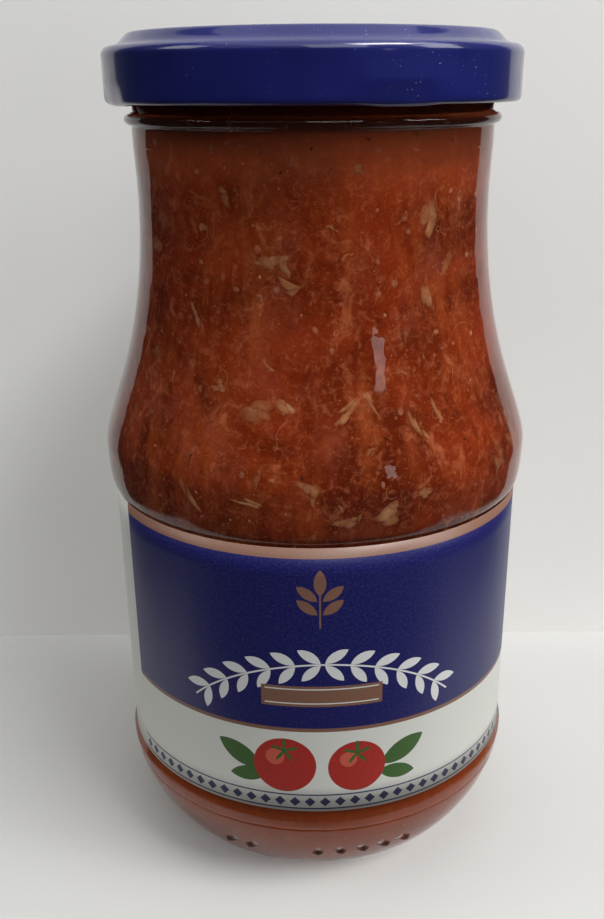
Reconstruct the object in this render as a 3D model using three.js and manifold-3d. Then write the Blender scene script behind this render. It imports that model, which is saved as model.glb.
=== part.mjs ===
// A round glass jar of tomato sauce, shut by a lacquered twist-off lid, with a paper label wrapped round it.
// Millimetres, +Z up. The foot stands on Z = 0, the jar's axis is Z, and the front of the label faces -Y.

import * as THREE from "three";
import { mergeVertices } from "three/addons/utils/BufferGeometryUtils.js";
import Module from "manifold-3d";

// Facets
const SEGMENTS = 48;
const SWEEP_STEPS = 9;
const HEEL_STEPS = 7;
const ROUND_STEPS = 5;
const CORNER_STEPS = 3;

// Glass jar, outside
const PUSH_UP = 1.8;
const FOOT_INNER_RADIUS = 21.9;
const FOOT_RADIUS = 24.9;
const HEEL_RADIUS = 36.9;
const HEEL_HEIGHT = 18.6;
const HEEL_FOOT_LEAD = 4.65;
const HEEL_SIDE_LEAD = 7.5;
const PANEL_RADIUS = 36.25;
const PANEL_MARGIN = 0.5;
const BULGE_RADIUS = 37.4;
const BULGE_HEIGHT = 77.2;
const BULGE_LIP = 0.7;
const BULGE_LEAD = 5;
const WAIST_RADIUS = 29.05;
const WAIST_HEIGHT = 118.6;
const SHOULDER_BULGE_LEAD = 5.8;
const SHOULDER_WAIST_LEAD = 24.5;
const NECK_RADIUS = 29.35;
const BEAD_RADIUS = 30.45;
const BEAD_HEIGHT = 130.3;
const BEAD_ROUND = 1.2;
const FINISH_RADIUS = 29.1;
const RIM_HEIGHT = 141.8;
const RIM_ROUND = 1.2;

// Glass jar, inside
const WALL = 2.4;
const FLOOR_HEIGHT = 4;
const FLOOR_RADIUS = 22;
const FLOOR_LEAD = 6.5;
const FLOOR_SIDE_HEIGHT = 19.5;
const FLOOR_SIDE_LEAD = 7.5;

// Dots moulded on the heel, counted off at an even pitch from the middle of the front
const DOT_PLACES = [-4, -3, 0, 1, 2, 3, 4];
const DOT_PITCH = THREE.MathUtils.degToRad(7.05);
const DOT_RADIUS = 0.6;
const DOT_HEIGHT = 8.3;

// Sauce
const FILL_HEIGHT = 134.5;
const SAUCE_GAP = 0.25;

// Paper label
const LABEL_BOTTOM = 19.6;
const LABEL_TOP = 69.5;
const LABEL_GAP = 0.05;
const LABEL_THICKNESS = 0.2;

// Lid
const LID_STEEL = 0.35;
const LID_TOP = 142.7;
const LID_BOTTOM = 132.6;
const LID_RADIUS = 33.3;
const LID_CURL_RADIUS = 33.25;
const CURL_ROUND = 0.75;
const SHOULDER_HEIGHT = 140.8;
const SHOULDER_ROUND = 1.4;
const RING_OUTER_RADIUS = 29.7;
const RING_INNER_RADIUS = 25.2;
const RING_ROUND = 1;
const RING_FOOT_RADIUS = 31.2;
const PANEL_DROP = 1;
const PANEL_EDGE_RADIUS = 23.4;
const BUTTON_RADIUS = 9;
const BUTTON_EDGE = 1.2;
const BUTTON_SINK = 0.5;

// Lugs pressed inwards from the curl
const LUG_COUNT = 4;
const LUG_ANGLE = THREE.MathUtils.degToRad(22);
const LUG_SPAN = THREE.MathUtils.degToRad(20);
const LUG_INNER_RADIUS = 29.6;
const LUG_OUTER_RADIUS = 32.2;
const LUG_HEIGHT = 1.3;
const LUG_LIFT = 0.15;

const wasm = await Module();
wasm.setup();

const point = (radius, height) => new THREE.Vector2(radius, height);

// Points of a round corner about a centre, between two angles in degrees from the outward direction.
function round(radius, height, size, fromDegrees, toDegrees, steps) {
  return Array.from({ length: steps + 1 }, (_, i) => {
    const angle = THREE.MathUtils.degToRad(THREE.MathUtils.lerp(fromDegrees, toDegrees, i / steps));
    return point(radius + size * Math.cos(angle), height + size * Math.sin(angle));
  });
}

// Points of a smooth curve from one place to another by way of two leads.
function sweep(from, lead, trail, to, steps) {
  return new THREE.CubicBezierCurve(from, lead, trail, to).getPoints(steps);
}

// The heel's curve, from the foot up to the side wall.
function heelCurve() {
  return new THREE.CubicBezierCurve(
    point(FOOT_RADIUS, 0),
    point(FOOT_RADIUS + HEEL_FOOT_LEAD, 0),
    point(HEEL_RADIUS, HEEL_HEIGHT - HEEL_SIDE_LEAD),
    point(HEEL_RADIUS, HEEL_HEIGHT),
  );
}

// The shoulder's curve from the label panel over the bulge to the waist, set in from the outside by a depth.
function shoulder(depth) {
  const panelTop = LABEL_TOP + PANEL_MARGIN;
  return [
    ...sweep(
      point(PANEL_RADIUS - depth, panelTop),
      point(PANEL_RADIUS + BULGE_LIP - depth, panelTop),
      point(BULGE_RADIUS - depth, BULGE_HEIGHT - BULGE_LEAD),
      point(BULGE_RADIUS - depth, BULGE_HEIGHT),
      CORNER_STEPS,
    ),
    ...sweep(
      point(BULGE_RADIUS - depth, BULGE_HEIGHT),
      point(BULGE_RADIUS - depth, BULGE_HEIGHT + SHOULDER_BULGE_LEAD),
      point(WAIST_RADIUS - depth, WAIST_HEIGHT - SHOULDER_WAIST_LEAD),
      point(WAIST_RADIUS - depth, WAIST_HEIGHT),
      SWEEP_STEPS,
    ),
  ];
}

// The outside of the glass, from the middle of the base to the top of the rim.
function jarOutside() {
  return [
    point(0, PUSH_UP),
    point(FOOT_INNER_RADIUS / 2, PUSH_UP),
    point(FOOT_INNER_RADIUS, 0),
    ...heelCurve().getPoints(HEEL_STEPS),
    point(PANEL_RADIUS, LABEL_BOTTOM - PANEL_MARGIN),
    ...shoulder(0),
    point(NECK_RADIUS, BEAD_HEIGHT - BEAD_ROUND),
    ...round(BEAD_RADIUS - BEAD_ROUND, BEAD_HEIGHT, BEAD_ROUND, -60, 90, ROUND_STEPS),
    point(FINISH_RADIUS, BEAD_HEIGHT + BEAD_ROUND),
    ...round(FINISH_RADIUS - RIM_ROUND, RIM_HEIGHT - RIM_ROUND, RIM_ROUND, 0, 90, CORNER_STEPS),
  ];
}

// The inside of the glass, from the middle of the floor to the waist, drawn in by a gap.
function jarInside(gap) {
  const bore = PANEL_RADIUS - WALL - gap;
  const floor = FLOOR_HEIGHT + gap;
  return [
    point(0, floor),
    ...sweep(
      point(FLOOR_RADIUS - gap, floor),
      point(FLOOR_RADIUS + FLOOR_LEAD - gap, floor),
      point(bore, FLOOR_SIDE_HEIGHT - FLOOR_SIDE_LEAD),
      point(bore, FLOOR_SIDE_HEIGHT),
      HEEL_STEPS,
    ),
    ...shoulder(WALL + gap),
  ];
}

// A closed solid turned about Z from the outline of its section.
function turned(outline) {
  const distinct = outline.filter((p, i) => i === 0 || p.distanceTo(outline[i - 1]) > 1e-4);
  return new THREE.LatheGeometry(distinct, SEGMENTS).rotateX(Math.PI / 2);
}

// A geometry as a solid that can be joined to others.
function solid(geometry) {
  const bare = new THREE.BufferGeometry();
  bare.setAttribute("position", geometry.getAttribute("position").clone());
  bare.setIndex(geometry.getIndex());
  const merged = mergeVertices(bare, 1e-3);
  const mesh = new wasm.Mesh({
    numProp: 3,
    vertProperties: merged.getAttribute("position").array,
    triVerts: new Uint32Array(merged.getIndex().array),
  });
  return new wasm.Manifold(mesh);
}

// One geometry from a main piece and the details that stand on it.
function joined(main, details) {
  const mesh = details.reduce((whole, detail) => whole.add(solid(detail)), solid(main)).getMesh();
  const geometry = new THREE.BufferGeometry();
  geometry.setAttribute("position", new THREE.BufferAttribute(mesh.vertProperties, 3));
  geometry.setIndex(new THREE.BufferAttribute(mesh.triVerts, 1));
  geometry.computeVertexNormals();
  return geometry;
}

// Raised dots in a row along the heel.
function heelDots() {
  const heel = heelCurve();
  const share = heel.getPoints(SEGMENTS).findIndex((p) => p.y >= DOT_HEIGHT) / SEGMENTS;
  const radius = heel.getPoint(share).x;
  return DOT_PLACES.map((place) => {
    const angle = place * DOT_PITCH;
    const dot = mergeVertices(new THREE.IcosahedronGeometry(DOT_RADIUS, 1).deleteAttribute("normal"));
    return dot.translate(radius * Math.sin(angle), -radius * Math.cos(angle), DOT_HEIGHT);
  });
}

function glassJar() {
  const mouthRadius = WAIST_RADIUS - WALL;
  const mouth = round(mouthRadius + RIM_ROUND, RIM_HEIGHT - RIM_ROUND, RIM_ROUND, 90, 180, CORNER_STEPS);
  return joined(turned([...jarOutside(), ...mouth, ...jarInside(0).reverse()]), heelDots());
}

function sauce() {
  const bore = WAIST_RADIUS - WALL - SAUCE_GAP;
  return turned([...jarInside(SAUCE_GAP), point(bore, FILL_HEIGHT), point(0, FILL_HEIGHT)]);
}

function label() {
  const inner = PANEL_RADIUS + LABEL_GAP;
  const outer = inner + LABEL_THICKNESS;
  return turned([
    point(inner, LABEL_BOTTOM),
    point(outer, LABEL_BOTTOM),
    point(outer, LABEL_TOP),
    point(inner, LABEL_TOP),
    point(inner, LABEL_BOTTOM),
  ]);
}

// The lid's steel from the middle of its panel to the top of its skirt, set in from the outside by a depth.
function lidCrown(depth) {
  const top = LID_TOP - depth;
  const panel = top - PANEL_DROP;
  const corner = SHOULDER_ROUND - depth;
  return [
    point(0, panel - BUTTON_SINK),
    point(BUTTON_RADIUS, panel - BUTTON_SINK),
    point(BUTTON_RADIUS + BUTTON_EDGE, panel),
    point(PANEL_EDGE_RADIUS, panel),
    point(RING_INNER_RADIUS, top),
    ...round(RING_OUTER_RADIUS - RING_ROUND, top - RING_ROUND, RING_ROUND, 90, 45, CORNER_STEPS),
    point(RING_FOOT_RADIUS - depth, SHOULDER_HEIGHT - depth),
    ...round(LID_RADIUS - SHOULDER_ROUND, SHOULDER_HEIGHT - SHOULDER_ROUND, corner, 90, 0, CORNER_STEPS),
  ];
}

// The rolled lower edge, from the inside of the skirt round to its outside.
function lidCurl() {
  const middle = LID_CURL_RADIUS - CURL_ROUND;
  return [
    point(LID_CURL_RADIUS - LID_STEEL, LID_BOTTOM + 3 * CURL_ROUND),
    point(middle - CURL_ROUND, LID_BOTTOM + 2 * CURL_ROUND),
    ...round(middle, LID_BOTTOM + CURL_ROUND, CURL_ROUND, 180, 360, 2 * CORNER_STEPS),
  ];
}

function lug(index) {
  const middle = LUG_ANGLE + (index * 2 * Math.PI) / LUG_COUNT - Math.PI / 2;
  const sector = new THREE.Shape();
  sector.absarc(0, 0, LUG_OUTER_RADIUS, middle - LUG_SPAN / 2, middle + LUG_SPAN / 2, false);
  sector.absarc(0, 0, LUG_INNER_RADIUS, middle + LUG_SPAN / 2, middle - LUG_SPAN / 2, true);
  sector.closePath();
  const tab = new THREE.ExtrudeGeometry(sector, {
    depth: LUG_HEIGHT,
    bevelEnabled: false,
    curveSegments: CORNER_STEPS,
  });
  const bare = tab.deleteAttribute("normal").deleteAttribute("uv");
  return mergeVertices(bare).translate(0, 0, LID_BOTTOM + LUG_LIFT);
}

function lid() {
  const lugs = Array.from({ length: LUG_COUNT }, (_, i) => lug(i));
  const shell = [...lidCrown(LID_STEEL), ...lidCurl(), ...lidCrown(0).reverse()];
  return joined(turned(shell), lugs);
}

const finishes = {
  glass: { color: 0xc9b3a4, roughness: 0.06, metalness: 0 },
  sauce: { color: 0x7a2f17, roughness: 0.35, metalness: 0 },
  paper: { color: 0x1d1b57, roughness: 0.45, metalness: 0 },
  lacquer: { color: 0x1a2070, roughness: 0.22, metalness: 0.3 },
};

function part(name, geometry, finish) {
  const mesh = new THREE.Mesh(geometry, new THREE.MeshStandardMaterial(finishes[finish]));
  mesh.name = name;
  return mesh;
}

const jar = new THREE.Group();
jar.add(part("glass_jar", glassJar(), "glass"));
jar.add(part("sauce", sauce(), "sauce"));
jar.add(part("label", label(), "paper"));
jar.add(part("lid", lid(), "lacquer"));

export default jar;
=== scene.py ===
"""A shut jar of tomato sauce: clear glass, thick sauce with mushroom pieces, a printed label, a lacquered lid.

Lengths are millimetres until a mesh or a lamp is made, and angles run from the front of the label towards +X.
"""

import math
import random

import bpy
from mathutils import Euler, Matrix, Vector


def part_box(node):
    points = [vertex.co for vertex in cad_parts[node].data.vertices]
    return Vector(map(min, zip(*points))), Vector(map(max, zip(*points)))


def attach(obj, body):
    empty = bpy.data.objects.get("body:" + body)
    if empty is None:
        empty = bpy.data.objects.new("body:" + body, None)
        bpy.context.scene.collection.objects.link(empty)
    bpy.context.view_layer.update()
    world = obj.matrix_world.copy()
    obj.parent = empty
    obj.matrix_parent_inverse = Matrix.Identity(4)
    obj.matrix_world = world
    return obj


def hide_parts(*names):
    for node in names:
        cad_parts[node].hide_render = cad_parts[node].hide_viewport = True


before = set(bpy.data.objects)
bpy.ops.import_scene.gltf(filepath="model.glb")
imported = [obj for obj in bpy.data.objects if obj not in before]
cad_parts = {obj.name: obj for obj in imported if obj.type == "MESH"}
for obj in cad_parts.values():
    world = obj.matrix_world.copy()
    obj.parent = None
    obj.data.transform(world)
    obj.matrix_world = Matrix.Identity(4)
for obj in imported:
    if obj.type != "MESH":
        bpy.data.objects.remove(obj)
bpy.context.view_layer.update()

MM = 0.001
TINY = 1e-6


def box_mm(node):
    """Lowest and highest corner of a CAD node in millimetres."""
    low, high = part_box(node)
    return [v / MM for v in low], [v / MM for v in high]


JAR_LOW, JAR_HIGH = box_mm("glass_jar")
SAUCE_LOW, SAUCE_HIGH = box_mm("sauce")
LABEL_LOW, LABEL_HIGH = box_mm("label")
LID_LOW, LID_HIGH = box_mm("lid")

# Glass, outside; the label's solid stands a little off the glass
LABEL_STAND = 0.25
BULGE_RADIUS, RIM_HEIGHT = JAR_HIGH[0], JAR_HIGH[2]
LABEL_BOTTOM, LABEL_TOP = LABEL_LOW[2], LABEL_HIGH[2]
PANEL_RADIUS = LABEL_HIGH[0] - LABEL_STAND
PANEL_MARGIN = 0.5
PUSH_UP, BASE_LEAD, BASE_TRAIL = 1.8, 0.6, 0.9
FOOT_INNER_RADIUS, FOOT_RADIUS = 21.9, 24.9
HEEL_RADIUS, HEEL_HEIGHT = 36.9, 18.6
HEEL_FOOT_LEAD, HEEL_SIDE_LEAD = 4.65, 7.5
BULGE_HEIGHT, BULGE_LIP, BULGE_LEAD = 77.2, 0.7, 5.0
WAIST_RADIUS, WAIST_HEIGHT = 29.05, 118.6
SHOULDER_BULGE_LEAD, SHOULDER_WAIST_LEAD = 5.8, 24.5
NECK_RADIUS, NECK_LEAD = 29.35, 4.0
BEAD_RADIUS, BEAD_HEIGHT, BEAD_ROUND = 30.45, 130.3, 0.85
BEAD_FILLET = 0.4
BEAD_LEAN = math.acos((NECK_RADIUS + BEAD_FILLET - BEAD_RADIUS + BEAD_ROUND) / (BEAD_ROUND + BEAD_FILLET))
BEAD_FOOT = BEAD_HEIGHT - (BEAD_ROUND + BEAD_FILLET) * math.sin(BEAD_LEAN)
FINISH_RADIUS, FINISH_STEP = 29.1, 0.3
RIM_ROUND = 1.2
JAR_STEPS = 144

# Fine lines from the mould on the neck and the heel, and the shares of those curves that need close steps
PARTING_HEIGHT, PARTING_RISE, PARTING_WIDTH = 126.5, 0.06, 0.16
PARTING_SHARES = (0.72, 0.86)
SEAM_HEIGHT, SEAM_RISE, SEAM_WIDTH = 15.7, -0.12, 0.22
SEAM_SHARES = (0.85, 0.905)

# Glass, inside; the sauce's solid leaves a gap to it
WALL = 2.4
SAUCE_GAP = 0.25
FLOOR_HEIGHT = SAUCE_LOW[2] - SAUCE_GAP
FLOOR_RADIUS, FLOOR_LEAD = 22.0, 6.5
FLOOR_SIDE_HEIGHT, FLOOR_SIDE_LEAD = 19.5, 7.5

# Dots moulded on the heel, with an outline between a disc (power 2) and a lozenge (power 1)
DOT_PLACES = (-4, -3, 0, 1, 2, 3, 4)
DOT_PITCH = math.radians(7.05)
DOT_RADIUS, DOT_HEIGHT, DOT_RISE = 1.15, 8.3, 0.75
DOT_SQUASH, DOT_POWER, DOT_CROWN = 1.15, 1.5, 0.7
DOT_SHARES = (0.49, 0.67)
DOT_STEPS, DOT_STEP_GAP = 150, 0.01

# Sauce, which reaches into the glass, and what is sunk in it
SAUCE_REACH = 0.15
FILL_HEIGHT = SAUCE_HIGH[2]
SAUCE_RIM = (WAIST_RADIUS - WALL + SAUCE_REACH, FILL_HEIGHT)
SAUCE_STEPS = 160
# Painted light: the sauce is made paler low down at the heel, in place of the light that the floor and the
# thick glass heel bring there
HEEL_LIGHT_LOW, HEEL_LIGHT_TOP, HEEL_LIGHT_SHARE = 19.0, 30.0, 0.6
# Painted light: the sauce is made paler at the neck under the lid, in place of the light that the glass bends
# in under the lid's shadow
NECK_LIGHT_LOW, NECK_LIGHT_TOP, NECK_LIGHT_SHARE = 119.0, 129.0, 0.7
MUSHROOM_COUNT, ONION_COUNT, HERB_COUNT, FIBRE_COUNT = 190, 420, 120, 90
MUSHROOM_LENGTHS, FRONT_LENGTHS, FRONT_REACH = (1.4, 5.5), (1.0, 2.6), math.radians(45)
ONION_LEAST, ONION_SPREAD, ONION_POWER = 0.35, 1.1, 2.2
HERB_LENGTHS = (0.25, 0.9)
FIBRE_LENGTHS, FIBRE_RADII, FIBRE_CURLS = (1.2, 5.5), (0.025, 0.05), (0.1, 0.9)
PLACE_MARGIN, LABEL_TUCK, HEEL_SHARE = 4.0, 1.0, 0.6
SEED = 20

# Label, whose end lies over its start; the lap's start and rise are shares of the lap
PAPER = 0.12
SHEET, LAP_LIFT = PAPER - 0.02, PAPER - 0.01
LABEL_RADIUS = LABEL_HIGH[0] - PAPER
LABEL_LAP = math.radians(9)
LAP_START, LAP_RISE = 1.3, 0.2
LABEL_COLUMNS, LABEL_ROWS = 240, 10

# Lid
LID_RADIUS, LID_BOTTOM, LID_TOP = LID_HIGH[0], LID_LOW[2], LID_HIGH[2]
LID_STEEL, LID_STEPS = 0.3, 240
LID_CURL_RADIUS, CURL_ROUND = 33.25, 0.75
LID_SHOULDER_HEIGHT, LID_SHOULDER_ROUND, LID_SHOULDER_START = 140.8, 1.4, 84
SKIRT_FOOT = (LID_CURL_RADIUS + 0.02, LID_BOTTOM + CURL_ROUND + 0.4)
SKIRT_HEAD = (LID_RADIUS - 0.04, LID_SHOULDER_HEIGHT - 2.2)
RING_OUTER_RADIUS, RING_INNER_RADIUS, RING_ROUND = 29.7, 25.2, 1.0
RING_FOOT_RADIUS, RING_FOOT_LEAD = 31.2, 0.9
RING_FOOT_BEFORE, RING_FOOT_AFTER = (-0.5, 0.05), (0.55, -0.02)
LID_PANEL_DROP, LID_PANEL_RADIUS = 1.0, 23.4
RAMP_LEAD, RAMP_TRAIL = 0.9, 0.7
BUTTON_RADIUS, BUTTON_EDGE, BUTTON_SINK = 9.0, 1.2, 0.5
BUTTON_DISH, BUTTON_HALF_DISH = 0.12, 0.09
LUG_COUNT, LUG_ANGLE, LUG_SPAN = 4, math.radians(22), math.radians(9)
LUG_REACH, LUG_DENT, LUG_DROP = 1.9, 0.6, 0.3
LUG_TALL, LUG_EDGE = 4 * CURL_ROUND, 0.7 * CURL_ROUND

# Camera, fitted to the outline in the photo; focal length and centre in pixels of its frame, angles in radians
PHOTO_WIDTH, PHOTO_HEIGHT = 604, 919
CAMERA_DISTANCE, CAMERA_HEIGHT = 180.54, 135.6
CAMERA_TILT, CAMERA_ROLL = math.radians(23.04), 0.007
FOCAL_PIXELS, CENTRE_X, CENTRE_Y = 1031.1, 315.7, 520.0
SENSOR, CLIP_START = 36.0, 10.0


def bezier(start, lead, trail, end, shares):
    """Points of a cubic curve at the given shares of its way."""

    def mix(i, t):
        s = 1 - t
        return s**3 * start[i] + 3 * s * s * t * lead[i] + 3 * s * t * t * trail[i] + t**3 * end[i]

    return [(mix(0, t), mix(1, t)) for t in shares]


def even(count):
    """Shares from 0 to 1 in even steps."""
    return [i / count for i in range(count + 1)]


def between(start, end, count):
    """Values from a start to an end in even steps."""
    return [start + (end - start) * t for t in even(count)]


def arc(radius, height, size, start, end, count):
    """Points of an arc about a centre, between two angles in degrees from the outward direction."""
    turns = [math.radians(a) for a in between(start, end, count)]
    return [(radius + size * math.cos(a), height + size * math.sin(a)) for a in turns]


def line(start, end, count):
    """Points of a straight stretch."""
    return list(zip(between(start[0], end[0], count), between(start[1], end[1], count)))


def ridged(curve, height, rise, width):
    """The curve with a fine ridge at a height, or a groove where the rise is negative."""
    return [(r + rise * math.exp(-(((z - height) / width) ** 2)), z) for r, z in curve]


def distinct(points):
    """The points without repeats."""
    return [p for i, p in enumerate(points) if i == 0 or math.dist(p, points[i - 1]) > TINY]


def new_object(name, verts, faces):
    """A smooth mesh object made from millimetre points."""
    mesh = bpy.data.meshes.new(name)
    mesh.from_pydata([(x * MM, y * MM, z * MM) for x, y, z in verts], [], faces)
    mesh.polygons.foreach_set("use_smooth", [True] * len(mesh.polygons))
    mesh.update()
    piece = bpy.data.objects.new(name, mesh)
    bpy.context.scene.collection.objects.link(piece)
    return piece


def around(radius, angle, height):
    """The point at an angle from the front."""
    return (radius * math.sin(angle), -radius * math.cos(angle), height)


def turned(name, outline, angles, relief=None):
    """A closed mesh turned about Z from an outline that starts and ends on the axis."""
    verts, rows = [], []
    for radius, height in distinct(outline):
        first = len(verts)
        if radius < TINY:
            verts.append((0, 0, height))
            rows.append([first] * len(angles))
            continue
        for angle in angles:
            out, up = relief(angle, radius, height) if relief else (0, 0)
            verts.append(around(radius + out, angle, height + up))
        rows.append(list(range(first, len(verts))))
    faces = []
    for low, high in zip(rows, rows[1:]):
        for j in range(len(angles)):
            k = (j + 1) % len(angles)
            corners = (low[j], low[k], high[k], high[j])
            faces.append(tuple(dict.fromkeys(corners)))
    return new_object(name, verts, faces)


def even_angles(count):
    """Angles once round from the back, in even steps."""
    return [2 * math.pi * j / count - math.pi for j in range(count)]


# The jar's section


def shoulder(depth, lip_steps, sweep_steps):
    """From the label panel over the bulge to the waist, set in from the outside by a depth."""
    panel_top = LABEL_TOP + PANEL_MARGIN
    lip = bezier(
        (PANEL_RADIUS - depth, panel_top),
        (PANEL_RADIUS + BULGE_LIP - depth, panel_top),
        (BULGE_RADIUS - depth, BULGE_HEIGHT - BULGE_LEAD),
        (BULGE_RADIUS - depth, BULGE_HEIGHT),
        even(lip_steps),
    )
    sweep = bezier(
        (BULGE_RADIUS - depth, BULGE_HEIGHT),
        (BULGE_RADIUS - depth, BULGE_HEIGHT + SHOULDER_BULGE_LEAD),
        (WAIST_RADIUS - depth, WAIST_HEIGHT - SHOULDER_WAIST_LEAD),
        (WAIST_RADIUS - depth, WAIST_HEIGHT),
        even(sweep_steps),
    )
    return lip + sweep


def heel():
    """From the foot up to the side wall, with close steps at the moulded dots and the fine seam above them."""
    shares = even(24) + between(*DOT_SHARES, 30) + between(*SEAM_SHARES, 14)
    curve = bezier(
        (FOOT_RADIUS, 0),
        (FOOT_RADIUS + HEEL_FOOT_LEAD, 0),
        (HEEL_RADIUS, HEEL_HEIGHT - HEEL_SIDE_LEAD),
        (HEEL_RADIUS, HEEL_HEIGHT),
        sorted(set(shares)),
    )
    return ridged(curve, SEAM_HEIGHT, SEAM_RISE, SEAM_WIDTH)


def neck():
    """From the waist up to the bead, with the fine parting line of the mould."""
    curve = bezier(
        (WAIST_RADIUS, WAIST_HEIGHT),
        (WAIST_RADIUS, WAIST_HEIGHT + NECK_LEAD),
        (NECK_RADIUS, BEAD_FOOT - NECK_LEAD),
        (NECK_RADIUS, BEAD_FOOT),
        sorted(set(even(16) + between(*PARTING_SHARES, 18))),
    )
    return ridged(curve, PARTING_HEIGHT, PARTING_RISE, PARTING_WIDTH)


def jar_outside():
    """From the middle of the base to the top of the rim."""
    lean = math.degrees(BEAD_LEAN)
    base = bezier(
        (0, PUSH_UP),
        (FOOT_INNER_RADIUS * BASE_LEAD, PUSH_UP),
        (FOOT_INNER_RADIUS * BASE_TRAIL, 0),
        (FOOT_INNER_RADIUS, 0),
        even(8),
    )
    return [
        *base,
        *heel(),
        *line((PANEL_RADIUS, LABEL_BOTTOM - PANEL_MARGIN), (PANEL_RADIUS, LABEL_TOP + PANEL_MARGIN), 4),
        *shoulder(0, 12, 44),
        *neck(),
        *arc(NECK_RADIUS + BEAD_FILLET, BEAD_FOOT, BEAD_FILLET, 180, 180 - lean, 6),
        *arc(BEAD_RADIUS - BEAD_ROUND, BEAD_HEIGHT, BEAD_ROUND, -lean, 90, 16),
        (FINISH_RADIUS, BEAD_HEIGHT + BEAD_ROUND + FINISH_STEP),
        *arc(FINISH_RADIUS - RIM_ROUND, RIM_HEIGHT - RIM_ROUND, RIM_ROUND, 0, 90, 6),
    ]


def jar_inside(reach=0.0):
    """From the middle of the floor to the waist, moved into the glass by a reach."""
    bore = PANEL_RADIUS - WALL + reach
    floor = FLOOR_HEIGHT - reach
    corner = bezier(
        (FLOOR_RADIUS + reach, floor),
        (FLOOR_RADIUS + FLOOR_LEAD + reach, floor),
        (bore, FLOOR_SIDE_HEIGHT - FLOOR_SIDE_LEAD),
        (bore, FLOOR_SIDE_HEIGHT),
        even(20),
    )
    return [(0, floor), *corner, *shoulder(WALL - reach, 6, 36)]


def heel_dots(angle, radius, height):
    """How far the moulded dots lift the heel, outwards and upwards."""
    if abs(height - DOT_HEIGHT) > 2 * DOT_RADIUS or radius < FOOT_RADIUS:
        return 0, 0
    nearest = min(DOT_PLACES, key=lambda place: abs(angle - place * DOT_PITCH))
    across = (angle - nearest * DOT_PITCH) * radius
    up = (height - DOT_HEIGHT) * DOT_SQUASH
    off = (abs(across) ** DOT_POWER + abs(up) ** DOT_POWER) ** (1 / DOT_POWER) / DOT_RADIUS
    return (DOT_RISE * (1 - off) ** DOT_CROWN, 0) if off < 1 else (0, 0)


def make_glass():
    """The glass, with close steps round the front where the dots are."""
    fine_end = (max(DOT_PLACES) + 0.5) * DOT_PITCH
    fine = between(-fine_end, fine_end, DOT_STEPS)
    coarse = [a for a in even_angles(JAR_STEPS) if abs(a) > fine_end + DOT_STEP_GAP]
    mouth = arc(WAIST_RADIUS - WALL + RIM_ROUND, RIM_HEIGHT - RIM_ROUND, RIM_ROUND, 90, 180, 6)
    outline = jar_outside() + mouth + jar_inside()[::-1]
    return turned("glass_body", outline, sorted(fine + coarse), heel_dots)


def make_sauce():
    outline = jar_inside(SAUCE_REACH) + [SAUCE_RIM, (0, FILL_HEIGHT)]
    return turned("sauce_fill", outline, even_angles(SAUCE_STEPS))


# What is sunk in the sauce

SAUCE_WALL = [*jar_inside(SAUCE_REACH)[2:], SAUCE_RIM]


def sauce_radius(height):
    """The radius of the sauce at a height."""
    for (r0, z0), (r1, z1) in zip(SAUCE_WALL, SAUCE_WALL[1:]):
        if z0 <= height <= z1 and z1 > z0:
            return r0 + (r1 - r0) * (height - z0) / (z1 - z0)
    return SAUCE_WALL[0][0] if height < SAUCE_WALL[0][1] else SAUCE_WALL[-1][0]


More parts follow.
